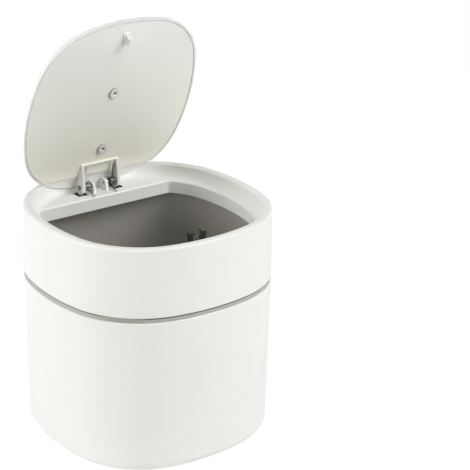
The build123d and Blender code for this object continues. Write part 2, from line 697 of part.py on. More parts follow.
# ---------------------------------------------------------------- latch slider
with BuildPart() as latch_slider:
    with BuildSketch(Plane.XY.offset(SLIDER_FOOT)):
        with Locations((0, LATCH_Y)):
            RectangleRounded(2 * SLIDER_HALF_X, 2 * SLIDER_HALF_Y, EDGE_BREAK)
    extrude(amount=SLIDER_TOP - SLIDER_FOOT)
    with BuildSketch(Plane.XY.offset(SLIDER_FOOT)):
        with Locations((0, LATCH_Y)):
            Rectangle(2 * PLATFORM_HALF, JAW_WIDTH)
    extrude(amount=PLATFORM_TOP - SLIDER_FOOT)
    for side in (-1, 1):
        with Locations((side * PLATFORM_HALF, LATCH_Y, JAW_SLOT_FOOT)):
            Box(
                SLIDER_HALF_X,
                JAW_WIDTH + 2 * SLOT_PLAY,
                SLIDER_TOP - JAW_SLOT_FOOT,
                align=(Align.MIN if side > 0 else Align.MAX, Align.CENTER, Align.MIN),
                mode=Mode.SUBTRACT,
            )
    with BuildSketch(Plane.XZ.offset(-LATCH_Y)):
        with Locations((-JAW_PIN_X, JAW_PIN_Z), (JAW_PIN_X, JAW_PIN_Z)):
            Circle(JAW_PIN_RADIUS + RUNNING_FIT)
    extrude(amount=SLIDER_HALF_Y, both=True, mode=Mode.SUBTRACT)
    with BuildSketch(Plane.XY.offset(SLIDER_FOOT)):
        with Locations((0, LATCH_Y)):
            Circle(SPRING_RADIUS + SPRING_WIRE)
    extrude(amount=SPRING_SEAT, mode=Mode.SUBTRACT)
    # Heart-shaped cam track on the rear face.
    with BuildSketch(Plane.XZ.offset(-LATCH_Y - SLIDER_HALF_Y)):
        with Locations((0, CAM_Z)):
            RectangleRounded(2 * CAM_HALF, CAM_HEIGHT, 2 * EDGE_BREAK)
        with BuildLine():
            Polyline(
                (0, CAM_Z - HEART_REACH),
                (HEART_HALF, CAM_Z),
                (HEART_HALF, CAM_Z + HEART_HALF),
                (0, CAM_Z + HEART_NOTCH),
                (-HEART_HALF, CAM_Z + HEART_REACH),
                (-HEART_HALF, CAM_Z),
                close=True,
            )
        make_face(mode=Mode.SUBTRACT)
    extrude(amount=CAM_DEPTH, mode=Mode.SUBTRACT)

write(latch_slider.part, "latch_slider")


# ---------------------------------------------------------------- latch jaws and their pins
jaw_turn = Location((JAW_PIN_X, LATCH_Y, JAW_PIN_Z), (0, JAW_SPLAY, 0))
jaw_plane = Plane(jaw_turn * Plane.XZ.location)

with BuildPart() as latch_jaw_right:
    with BuildSketch(jaw_plane):
        with BuildLine():
            Polyline(
                (JAW_INNER - JAW_PIN_X, 0),
                (JAW_INNER - JAW_PIN_X, HOOK_UNDERSIDE),
                (HOOK_INNER - JAW_PIN_X, HOOK_UNDERSIDE),
                (HOOK_INNER - JAW_PIN_X, HOOK_UNDERSIDE + HOOK_HEIGHT / 2),
                (HOOK_INNER - JAW_PIN_X + HOOK_HEIGHT / 2, HOOK_UNDERSIDE + HOOK_HEIGHT),
                (JAW_OUTER - JAW_PIN_X, HOOK_UNDERSIDE + HOOK_HEIGHT),
                (JAW_OUTER - JAW_PIN_X, 0),
                close=True,
            )
        make_face()
        Circle(JAW_ROOT_RADIUS)
        Circle(JAW_PIN_RADIUS + RUNNING_FIT, mode=Mode.SUBTRACT)
    extrude(amount=JAW_WIDTH / 2, both=True)
    fillet(latch_jaw_right.edges().filter_by(Axis.Y).sort_by(Axis.X)[-1], EDGE_BREAK)

with BuildPart() as latch_jaw_pin_right:
    with BuildSketch(Plane.XZ.offset(-LATCH_Y)):
        with Locations((JAW_PIN_X, JAW_PIN_Z)):
            Circle(JAW_PIN_RADIUS)
    extrude(amount=SLIDER_HALF_Y, both=True)

for name, right in (("latch_jaw", latch_jaw_right), ("latch_jaw_pin", latch_jaw_pin_right)):
    with BuildPart() as left:
        mirror(right.part, about=Plane.YZ)
    write(right.part, f"{name}_right")
    write(left.part, f"{name}_left")


# ---------------------------------------------------------------- latch spring, follower, screws
with BuildPart() as latch_spring:
    with BuildLine() as spring_path:
        Helix(
            (SPRING_LENGTH - SPRING_WIRE) / SPRING_TURNS,
            SPRING_LENGTH - SPRING_WIRE,
            SPRING_RADIUS,
            center=(0, LATCH_Y, floor_top + SPRING_WIRE / 2),
        )
    wire_along(spring_path.wire(), SPRING_WIRE / 2, sides=SPRING_SIDES, coiled=True)

write(latch_spring.part, "latch_spring")

with BuildPart() as latch_cam_follower:
    with BuildLine(Plane.YZ.offset(FOLLOWER_X)) as wire:
        FilletPolyline(
            (LATCH_Y + FOLLOWER_Y, HOUSING_FOOT + FOLLOWER_WIRE),
            (LATCH_Y + FOLLOWER_Y, FOLLOWER_Z),
            (LATCH_Y + SLIDER_HALF_Y - CAM_DEPTH / 2, FOLLOWER_Z),
            radius=2 * FOLLOWER_WIRE,
        )
    wire_along(wire.wire(), FOLLOWER_WIRE)

write(latch_cam_follower.part, "latch_cam_follower")

with BuildPart() as latch_screws:
    with BuildSketch(Plane.XY.offset(POCKET_FOOT)):
        with Locations(*SCREW_SPOTS):
            Circle(SCREW_RADIUS)
    extrude(amount=SCREW_LENGTH)
    with BuildSketch(Plane.XY.offset(POCKET_FOOT)):
        with Locations(*SCREW_SPOTS):
            Circle(SCREW_HEAD_RADIUS)
    extrude(amount=-SCREW_HEAD)
    chamfer(latch_screws.edges().group_by(Axis.Z)[0], SCREW_HEAD / 3)

write(latch_screws.part, "latch_screws")
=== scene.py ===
"""Looks of a push-top countertop bin: its finishes, its wire springs and stake rings, and a plain studio.

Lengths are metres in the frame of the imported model, with +Z up and the origin on the table under the bin.
"""

import json
import logging
import math
from collections.abc import Callable
from dataclasses import dataclass, field
from enum import Enum

import bpy
from mathutils import Matrix, Vector

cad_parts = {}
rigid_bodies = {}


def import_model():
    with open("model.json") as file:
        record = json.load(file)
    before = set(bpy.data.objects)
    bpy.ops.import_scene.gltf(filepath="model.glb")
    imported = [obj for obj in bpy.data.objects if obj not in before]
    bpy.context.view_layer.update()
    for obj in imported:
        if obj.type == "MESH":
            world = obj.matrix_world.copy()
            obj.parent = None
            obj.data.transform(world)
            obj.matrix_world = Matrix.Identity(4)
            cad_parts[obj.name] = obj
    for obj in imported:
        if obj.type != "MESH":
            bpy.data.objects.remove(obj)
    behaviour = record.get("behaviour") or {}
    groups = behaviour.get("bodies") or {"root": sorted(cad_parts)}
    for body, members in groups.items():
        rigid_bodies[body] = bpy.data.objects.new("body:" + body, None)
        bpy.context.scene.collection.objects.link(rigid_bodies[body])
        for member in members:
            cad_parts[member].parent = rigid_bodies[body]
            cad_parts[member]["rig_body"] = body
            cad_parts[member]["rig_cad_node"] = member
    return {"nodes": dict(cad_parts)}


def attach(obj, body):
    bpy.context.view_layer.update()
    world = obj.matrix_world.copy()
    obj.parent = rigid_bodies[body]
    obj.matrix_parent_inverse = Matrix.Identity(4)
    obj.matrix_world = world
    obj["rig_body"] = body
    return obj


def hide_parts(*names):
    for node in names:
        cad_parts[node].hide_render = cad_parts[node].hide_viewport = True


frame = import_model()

LOG = logging.getLogger("push_top_bin")
MM = 0.001
WHITE = (1.0, 1.0, 1.0, 1.0)

Colour = tuple[float, float, float]
Triple = tuple[float, float, float]
Number = "Signal | float"

# The hinge axis, the open lid's turn in degrees, and, with the lid closed, the height of the panel's face
# and the two stakes in y.
HINGE: Triple = (0.0, 61.2 * MM, 156.4 * MM)
LID_TURN = 70.0
PANEL_FOOT = 160.8 * MM
STAKES = (33.1 * MM, -13.5 * MM)


class Kind(Enum):
    """The shader nodes in use, by plain names."""

    COORDINATE = "ShaderNodeTexCoord"
    MAPPING = "ShaderNodeMapping"
    NOISE = "ShaderNodeTexNoise"
    MATHS = "ShaderNodeMath"
    MIX = "ShaderNodeMix"
    SPLIT = "ShaderNodeSeparateXYZ"
    RANGE = "ShaderNodeMapRange"
    BUMP = "ShaderNodeBump"
    RAY = "ShaderNodeLightPath"
    EMISSION = "ShaderNodeEmission"
    BACKGROUND = "ShaderNodeBackground"
    MIX_SHADER = "ShaderNodeMixShader"


class Tree:
    """A node tree under construction."""

    def __init__(self, tree: bpy.types.NodeTree) -> None:
        """Take over a node tree.

        Args:
            tree: The tree of a material or of the world.
        """
        self.tree = tree

    def node(
        self,
        kind: Kind,
        settings: dict[str, object] | None = None,
        sockets: dict[str | int, object] | None = None,
    ) -> bpy.types.Node:
        """Add one node.

        Args:
            kind: Which node.
            settings: Its properties, set before its sockets.
            sockets: Values, signals or output sockets for its inputs, by name or index.

        Returns:
            The node.
        """
        made = self.tree.nodes.new(kind.value)
        for name, value in (settings or {}).items():
            setattr(made, name, value)
        for key, value in (sockets or {}).items():
            self.feed(made.inputs[key], value)
        return made

    def feed(self, target: bpy.types.NodeSocket, value: object) -> None:
        """Link or set one input socket.

        Args:
            target: The input.
            value: A signal, an output socket or a constant.
        """
        source = value.socket if isinstance(value, Signal) else value
        if isinstance(source, bpy.types.NodeSocket):
            self.tree.links.new(source, target)
        else:
            target.default_value = source

    def signal(self, socket: bpy.types.NodeSocket) -> "Signal":
        """Wrap an output socket so that it can be used in arithmetic."""
        return Signal(self, socket)

    def place(self, stretch: Triple = (1.0, 1.0, 1.0)) -> bpy.types.NodeSocket:
        """Give the point on the surface, in metres from the origin.

        Args:
            stretch: Scale along each axis, which draws a pattern out where it is small.

        Returns:
            The coordinate socket.
        """
        coordinate = self.node(Kind.COORDINATE).outputs["Object"]
        return self.node(Kind.MAPPING, sockets={"Vector": coordinate, "Scale": stretch}).outputs[0]

    def noise(self, size: float, detail: float = 2.0, stretch: Triple = (1.0, 1.0, 1.0)) -> "Signal":
        """Make noise about its middle, from about -0.5 to 0.5.

        Args:
            size: Width of one cloud in metres.
            detail: Octaves.
            stretch: Scale along each axis.

        Returns:
            The noise as a signal.
        """
        cloud = self.node(
            Kind.NOISE,
            sockets={"Vector": self.place(stretch), "Scale": 1 / size, "Detail": detail},
        )
        return self.signal(cloud.outputs["Fac"]) - 0.5

    def axis(self, name: str) -> "Signal":
        """Give one coordinate of the surface point, in metres."""
        return self.signal(self.node(Kind.SPLIT, sockets={0: self.place()}).outputs[name])

    def blend(self, share: Number, first: Colour, second: Colour) -> bpy.types.NodeSocket:
        """Mix two colours.

        Args:
            share: How much of the second one shows.
            first: Linear colour.
            second: Linear colour.

        Returns:
            The mixed colour's socket.
        """
        return self.over(share, (*first, 1.0), (*second, 1.0))

    def over(self, share: Number, below: object, above: object) -> bpy.types.NodeSocket:
        """Lay one colour over another.

        Args:
            share: How much of the upper one shows.
            below: The lower colour's socket, or its four values.
            above: The upper colour's socket, or its four values.

        Returns:
            The mixed colour's socket.
        """
        mixed = self.node(
            Kind.MIX,
            {"data_type": "RGBA", "clamp_factor": True},
            {"Factor": share, 6: below, 7: above},
        )
        return mixed.outputs[2]


class Signal:
    """A number that changes over a surface, on which Python arithmetic adds Math nodes."""

    def __init__(self, tree: Tree, socket: bpy.types.NodeSocket) -> None:
        """Wrap an output socket.

        Args:
            tree: The tree it belongs to.
            socket: The output.
        """
        self.tree = tree
        self.socket = socket

    def _maths(self, operation: str, *values: Number) -> "Signal":
        """Add one Math node.

        Args:
            operation: Its operation.
            values: Its inputs in order.

        Returns:
            Its result.
        """
        made = self.tree.node(Kind.MATHS, {"operation": operation}, dict(enumerate(values)))
        return Signal(self.tree, made.outputs[0])

    def __add__(self, other: Number) -> "Signal":
        """Add."""
        return self._maths("ADD", self, other)

    __radd__ = __add__

    def __sub__(self, other: Number) -> "Signal":
        """Subtract."""
        return self._maths("SUBTRACT", self, other)

    def __rsub__(self, other: Number) -> "Signal":
        """Subtract from a number."""
        return self._maths("SUBTRACT", other, self)

    def __mul__(self, other: Number) -> "Signal":
        """Multiply."""
        return self._maths("MULTIPLY", self, other)

    __rmul__ = __mul__

    def __abs__(self) -> "Signal":
        """Drop the sign."""
        return self._maths("ABSOLUTE", self)

    def above(self, low: float, high: float) -> "Signal":
        """Rise smoothly from 0 at one value to 1 at another.

        Args:
            low: Where it starts to rise.
            high: Where it has risen.

        Returns:
            The share from 0 to 1.
        """
        ramp = self.tree.node(
            Kind.RANGE,
            {"interpolation_type": "SMOOTHSTEP"},
            {"Value": self, "From Min": low, "From Max": high},
        )
        return Signal(self.tree, ramp.outputs[0])

    def between(self, low: float, high: float, edge: float) -> "Signal":
        """Be 1 between two values and 0 outside them.

        Args:
            low: The lower value.
            high: The upper value.
            edge: How far past each value the change takes.

        Returns:
            The share from 0 to 1.
        """
        return self.above(low, low + edge) * (1 - self.above(high, high + edge))


# ---------------------------------------------------------------- finishes
class Finish:
    """A surface finish: one material, made when it is first asked for."""

    name: str
    _made: dict[str, bpy.types.Material] = {}

    def material(self) -> bpy.types.Material:
        """Return the finish's material.

        Returns:
            The material, the same one each time.
        """
        if self.name not in self._made:
            material = bpy.data.materials.new(self.name)
            material.use_nodes = True
            tree = Tree(material.node_tree)
            self.dress(tree, material.node_tree.nodes["Principled BSDF"].inputs)
            self._made[self.name] = material
        return self._made[self.name]

    def dress(self, tree: Tree, surface: bpy.types.NodeInputs) -> None:
        """Set the surface shader up; each finish does it its own way."""
        raise NotImplementedError


@dataclass(frozen=True)
class MouldedPlastic(Finish):
    """Injection-moulded plastic: a fine spark texture, faint flow clouding and uneven gloss.

    Attributes:
        name: Material name.
        colour: Linear colour.
        shade: Linear colour of the faint clouding.
        roughness: Middle roughness.
        gloss_play: How far roughness wanders.
        grain: Depth of the spark texture in metres.
        grain_size: Width of one grain in metres.
        specular: Strength of the reflection.
        scuffs: How much fine handling scuffs show, from 0.
        cloud_size: Width of one cloud in metres.
        cloud_share: How strongly the clouds count.
        flow_size: Width of one flow mark in metres.
        flow_share: How strongly the flow marks count.
        flow_stretch: Scale of the flow marks along each axis.
        scuff_size: Width of one scuff in metres.
        scuff_stretch: Scale of the scuffs along each axis.
        smudge_size: Width of one smudge in metres.
    """

    name: str
    colour: Colour
    shade: Colour
    roughness: float = 0.38
    gloss_play: float = 0.06
    grain: float = 0.02 * MM
    grain_size: float = 0.6 * MM
    specular: float = 0.5
    scuffs: float = 0.0
    cloud_size: float = 45.0 * MM
    cloud_share: float = 1.2
    flow_size: float = 20.0 * MM
    flow_share: float = 0.6
    flow_stretch: Triple = (1.0, 1.0, 0.25)
    scuff_size: float = 4.0 * MM
    scuff_stretch: Triple = (1.0, 0.12, 1.0)
    smudge_size: float = 30.0 * MM

    def base(self, tree: Tree, share: Signal) -> bpy.types.NodeSocket:
        """Give the base colour.

        Args:
            tree: The material's tree.
            share: How far the clouding goes.

        Returns:
            The colour socket.
        """
        return tree.blend(share, self.colour, self.shade)

    def dress(self, tree: Tree, surface: bpy.types.NodeInputs) -> None:
        """Set the surface shader up.

        Args:
            tree: The material's tree.
            surface: Inputs of its surface shader.
        """
        clouds = tree.noise(self.cloud_size, 3.0)
        flow = tree.noise(self.flow_size, 2.0, self.flow_stretch)
        share = clouds * self.cloud_share + flow * self.flow_share + 0.5
        tree.feed(surface["Base Color"], self.base(tree, share))
        scuff = tree.noise(self.scuff_size, 4.0, self.scuff_stretch).above(0.12, 0.3) * self.scuffs
        smudge = tree.noise(self.smudge_size, 2.0)
        tree.feed(surface["Roughness"], smudge * self.gloss_play * 2 + self.roughness + scuff)
        surface["Specular IOR Level"].default_value = self.specular
        spark = tree.noise(self.grain_size, 2.0)
        bump = tree.node(
            Kind.BUMP,
            sockets={"Strength": 1.0, "Distance": self.grain, "Height": spark},
        )
        tree.feed(surface["Normal"], bump.outputs[0])


@dataclass(frozen=True)
class SlottedDeck(MouldedPlastic):
    """The collar's plastic, with near-black shade painted down inside the two slots that the lid arms dip
    into.

    Attributes:
        slot_sides: Inner and outer edge of the slots in x.
        slot_run: Their front edge in y, and how far back the shade reaches.
        lit_above: Height above which the plastic is in the light.
        edge: Width over which the shade begins.
        shade_colour: Linear colour of the painted deep shade.
    """

    slot_sides: tuple[float, float] = (10.2 * MM, 19.2 * MM)
    slot_run: tuple[float, float] = (56.8 * MM, 73.0 * MM)
    lit_above: float = 151.3 * MM
    edge: float = 0.1 * MM
    shade_colour: Colour = (0.012, 0.012, 0.011)

    def base(self, tree: Tree, share: Signal) -> bpy.types.NodeSocket:
        """Blend the clouded plastic with the painted shade.

        Args:
            tree: The material's tree.
            share: How far the clouding goes.

        Returns:
            The colour socket.
        """
        # Painted shade: near-black inside the slots, below the height where light would reach.
        inside = abs(tree.axis("X")).between(*self.slot_sides, self.edge)
        inside = inside * tree.axis("Y").between(*self.slot_run, self.edge)
        deep = inside * (1 - tree.axis("Z").above(self.lit_above - 2 * self.edge, self.lit_above))
        return tree.over(deep, tree.blend(share, self.colour, self.shade), (*self.shade_colour, 1.0))


@dataclass(frozen=True)
class RimmedPlastic(MouldedPlastic):
    """The bucket's plastic, with the flange painted lighter as painted light and a line of painted shade on
    the flange just under the collar.

    Attributes:
        flange_painted_light: Linear colour of the flange, lighter than the bucket as painted light in the
            groove under the collar.
        rim_reach: Half width of the soft square outside which the flange lies.
        rim_foot: Height above which the flange lies.
        line: Linear colour of the line of painted shade.
        line_foot: Height above which the line lies.
        line_edge: Height over which it begins.
    """

    flange_painted_light: Colour = (0.45, 0.44, 0.405)
    rim_reach: float = 72.0 * MM
    rim_foot: float = 105.0 * MM
    line: Colour = (0.07, 0.068, 0.062)
    line_foot: float = 113.5 * MM
    line_edge: float = 0.25 * MM

    def base(self, tree: Tree, share: Signal) -> bpy.types.NodeSocket:
        """Lay the flange's painted light and the line of painted shade over the clouded plastic.

        Args:
            tree: The material's tree.
            share: How far the clouding goes.

        Returns:
            The colour socket.
        """
        outside: Number = 0.0
        for name in ("X", "Y"):
            squared = tree.axis(name) * (1 / self.rim_reach)
            squared = squared * squared
            outside = squared * squared + outside
        outside = outside.above(0.95, 1.05)
        # Painted light: the flange is lighter than the bucket; painted shade: a dark line along its top,
        # under the collar.
        high = tree.axis("Z").above(self.rim_foot, self.rim_foot + MM)
        painted_shade_mask = tree.axis("Z").above(self.line_foot - self.line_edge, self.line_foot)
        flange_lightened = tree.over(outside * high, tree.blend(share, self.colour, self.shade), (*self.flange_painted_light, 1.0))
        return tree.over(outside * painted_shade_mask, flange_lightened, (*self.line, 1.0))


def on_closed_lid(tree: Tree) -> tuple[Signal, Signal]:
    """Measure a point of the open lid as if the lid were closed.

    Args:
        tree: The material's tree.

    Returns:
        Where it lies in y, and its height.
    """
    turn = math.radians(LID_TURN)
    _, hinge_y, hinge_z = HINGE
    back, up = tree.axis("Y") - hinge_y, tree.axis("Z") - hinge_z
    along = back * math.cos(turn) - up * math.sin(turn) + hinge_y
    return along, back * math.sin(turn) + up * math.cos(turn) + hinge_z


@dataclass(frozen=True)
class StakedPlastic(MouldedPlastic):
    """Plastic round the lid's two stakes, with shade painted either down in their eyes or on the walls
    round them.

    Attributes:
        reach: Radius where the shade changes.
        outside: Whether the shade lies outside that radius.
        below: Height below which the shade lies with the lid closed.
        edge: Height over which it ends.
        shade_colour: Linear colour of the painted shade.
    """

    reach: float = 1.2 * MM
    outside: bool = False
    below: float = 162.0 * MM
    edge: float = 0.1 * MM
    shade_colour: Colour = (0.26, 0.253, 0.235)

    def base(self, tree: Tree, share: Signal) -> bpy.types.NodeSocket:
        """Blend the clouded plastic with the painted shade.

        Args:
            tree: The material's tree.
            share: How far the clouding goes.

        Returns:
            The colour socket.
        """
        # Painted shade: darker in the stakes' eyes, or, when outside is set, on a ring's outer wall.
        along, height = on_closed_lid(tree)
        sideways = tree.axis("X")
        beyond: Number = 1.0
        for stake in STAKES:
            off = along - stake
            spread = (sideways * sideways + off * off) * (1 / self.reach**2)
            beyond = spread.above(0.85, 1.0) * beyond
        painted_shade_mask = beyond if self.outside else 1 - beyond
        under = 1 - height.above(self.below - self.edge, self.below)
        plastic = tree.blend(share, self.colour, self.shade)
        return tree.over(painted_shade_mask * under, plastic, (*self.shade_colour, 1.0))


@dataclass(frozen=True)
class GlossyPanel(MouldedPlastic):
    """The lid panel's plastic: painted lighter and warmer towards the hinge as painted light, with a faint
    film and flow lines by the striker.

    Attributes:
        warm: Linear colour near the hinge, lighter than the panel as painted light.
        warm_below: Height where the warm colour begins to fade, with the lid open.
        warm_gone: Height where it is gone.
        film: Linear colour of the film round the striker.
        film_share: How much of the film shows.
        film_from: Lower edge of the film in z.
        film_half: Half its width in x.
        film_wander: Width of one bay in its outline.
        film_sway: How far the outline strays.
        streak: Linear colour of the flow lines.
        streak_share: How much of them shows.
        streak_size: Width of one flow line.
        streak_stretch: Scale of the flow lines along each axis.
        patch_size: Width of one patch of flow lines.
        streak_from: Where they begin and are full in z.
        frame: Linear colour of the arms, their ribs and the crossbar.
        frame_top: Where the frame's colour ends in z, with the lid open.
        frame_edge: Height over which it changes to the panel's colour, with the lid closed.
    """

    warm: Colour = (0.995, 0.98, 0.87)
    warm_below: float = 165.0 * MM
    warm_gone: float = 285.0 * MM
    film: Colour = (0.93, 0.925, 0.885)
    film_share: float = 0.7
    film_from: float = 262.0 * MM
    film_half: float = 19.0 * MM
    film_wander: float = 12.0 * MM
    film_sway: float = 6.0 * MM
    streak: Colour = (0.85, 0.845, 0.79)
    streak_share: float = 0.5
    streak_size: float = 1.5 * MM
    streak_stretch: Triple = (1.0, 0.06, 0.06)
    patch_size: float = 20.0 * MM
    streak_from: tuple[float, float] = (242.0 * MM, 254.0 * MM)
    frame: Colour = (0.9, 0.885, 0.85)
    frame_top: tuple[float, float] = (225.0 * MM, 235.0 * MM)
    frame_edge: float = 0.2 * MM

    def base(self, tree: Tree, share: Signal) -> bpy.types.NodeSocket:
        """Lay the painted light near the hinge, the film and the flow lines over the clouded plastic.

        Args:
            tree: The material's tree.
            share: How far the clouding goes.

        Returns:
            The colour socket.
        """
        height = tree.axis("Z")
        sway = tree.noise(self.film_wander, 3.0) * self.film_sway
        high = (height + sway).above(self.film_from, self.film_from + 3 * MM)
        near = 1 - (abs(tree.axis("X")) + sway).above(self.film_half, self.film_half + 4 * MM)
        lines = tree.noise(self.streak_size, 3.0, self.streak_stretch).above(0.08, 0.28)
        patches = tree.noise(self.patch_size, 1.0).above(0.02, 0.2)
        # Painted light: lighter and warmer towards the hinge, fading out higher up the open lid.
        painted_light_faded = height.above(self.warm_below, self.warm_gone)
        plastic = tree.blend(share, self.colour, self.shade)
        plastic = tree.over(1 - painted_light_faded, plastic, (*self.warm, 1.0))
        plastic = tree.over(high * near * self.film_share, plastic, (*self.film, 1.0))
        streaks = lines * patches * height.above(*self.streak_from) * self.streak_share
        plastic = tree.over(streaks, plastic, (*self.streak, 1.0))
        closed = on_closed_lid(tree)[1]
        panel = closed.above(PANEL_FOOT - 1.5 * self.frame_edge, PANEL_FOOT - 0.5 * self.frame_edge)
        framed = (1 - panel) * (1 - height.above(*self.frame_top))
        return tree.over(framed, plastic, (*self.frame, 1.0))


@dataclass(frozen=True)
class SpringWire(Finish):
    """Bright drawn wire with faint draw lines and dull specks.

    Attributes:
        name: Material name.
        colour: Linear colour.
        tarnish: Linear colour of the dull specks.
        roughness: Middle roughness.
        speck_size: Width of one speck in metres.
        speck_play: How far the specks change the roughness.
        line_size: Width of one draw line in metres.
        line_stretch: Scale of the draw lines along each axis.
        line_play: How far they change the roughness.
        line_depth: Their depth in metres.
    """

    name: str
    colour: Colour
    tarnish: Colour
    roughness: float = 0.24
    speck_size: float = 1.2 * MM
    speck_play: float = 0.1
    line_size: float = 0.3 * MM
    line_stretch: Triple = (1.0, 0.15, 1.0)
    line_play: float = 0.16
    line_depth: float = 0.008 * MM

    def dress(self, tree: Tree, surface: bpy.types.NodeInputs) -> None:
        """Set the surface shader up.

        Args:
            tree: The material's tree.
            surface: Inputs of its surface shader.
        """
        specks = tree.noise(self.speck_size, 3.0)
        tree.feed(surface["Base Color"], tree.blend(specks.above(0.05, 0.3), self.colour, self.tarnish))
        surface["Metallic"].default_value = 1.0
        lines = tree.noise(self.line_size, 2.0, self.line_stretch)
        rough = lines * self.line_play + specks * self.speck_play + self.roughness
        tree.feed(surface["Roughness"], rough)
        bump = tree.node(
            Kind.BUMP,
            sockets={"Strength": 1.0, "Distance": self.line_depth, "Height": lines},
        )
        tree.feed(surface["Normal"], bump.outputs[0])


WHITE_SHELL = MouldedPlastic("white_shell", (0.875, 0.882, 0.848), (0.842, 0.848, 0.815), 0.36)
# The collar's finish paints near-black shade down in the deck slots.
WHITE_DECK = SlottedDeck("white_deck", (0.875, 0.882, 0.848), (0.842, 0.848, 0.815), 0.42)
# The lid cover's finish paints shade down in the stakes' eyes.
LID_SHELL = StakedPlastic(
    "lid_shell",
    (0.88, 0.886, 0.855),
    (0.87, 0.876, 0.845),
    0.33,
    gloss_play=0.03,
    grain=0.008 * MM,
)
# Painted shade: the stake rings are a little darker than the lid panel to tone down their lit rims, and
# darker still on their outer walls.
STAKE_RING = StakedPlastic(
    "stake_ring",
    (0.86, 0.85, 0.8),
    (0.84, 0.83, 0.78),
    0.4,
    reach=4.0 * MM,
    outside=True,
    shade_colour=(0.45, 0.435, 0.4),
)
# The lid panel's finish paints light near the hinge, lighter and warmer there.
LID_LINER = GlossyPanel(
    "lid_liner",
    (0.915, 0.917, 0.873),
    (0.89, 0.892, 0.848),
    0.2,
    gloss_play=0.04,
    grain=0.006 * MM,
    grain_size=1.2 * MM,
    specular=0.6,
    scuffs=0.05,
)
# The bucket's finish paints light on the flange and a line of shade along its top.
GREY_BUCKET = RimmedPlastic(
    "grey_bucket",
    (0.385, 0.372, 0.338),
    (0.36, 0.346, 0.312),
    0.46,
    gloss_play=0.08,
    grain=0.03 * MM,
    grain_size=0.8 * MM,
    specular=0.4,
    scuffs=0.12,
)
BLACK_LATCH = MouldedPlastic(
    "black_latch",
    (0.012, 0.012, 0.012),
    (0.018, 0.017, 0.016),
    0.5,
    gloss_play=0.08,
    grain=0.01 * MM,
    grain_size=0.4 * MM,
    specular=0.3,
)
SPRING_STEEL = SpringWire("spring_steel", (0.24, 0.235, 0.22), (0.11, 0.105, 0.095))
SCREW_STEEL = SpringWire("screw_steel", (0.52, 0.52, 0.53), (0.4, 0.39, 0.37), 0.32)

FINISHES: dict[str, Finish] = {
    "outer_body": WHITE_SHELL,
    "collar": WHITE_DECK,
    "inner_bucket": GREY_BUCKET,
    "lid_cover": LID_SHELL,
    "lid_panel": LID_LINER,
    "striker": LID_LINER,
    "latch_pocket": WHITE_DECK,
    "latch_housing": BLACK_LATCH,
    "latch_cap": BLACK_LATCH,
    "latch_slider": BLACK_LATCH,
    "latch_jaw_left": BLACK_LATCH,
    "latch_jaw_right": BLACK_LATCH,
    "latch_screws": SCREW_STEEL,
}


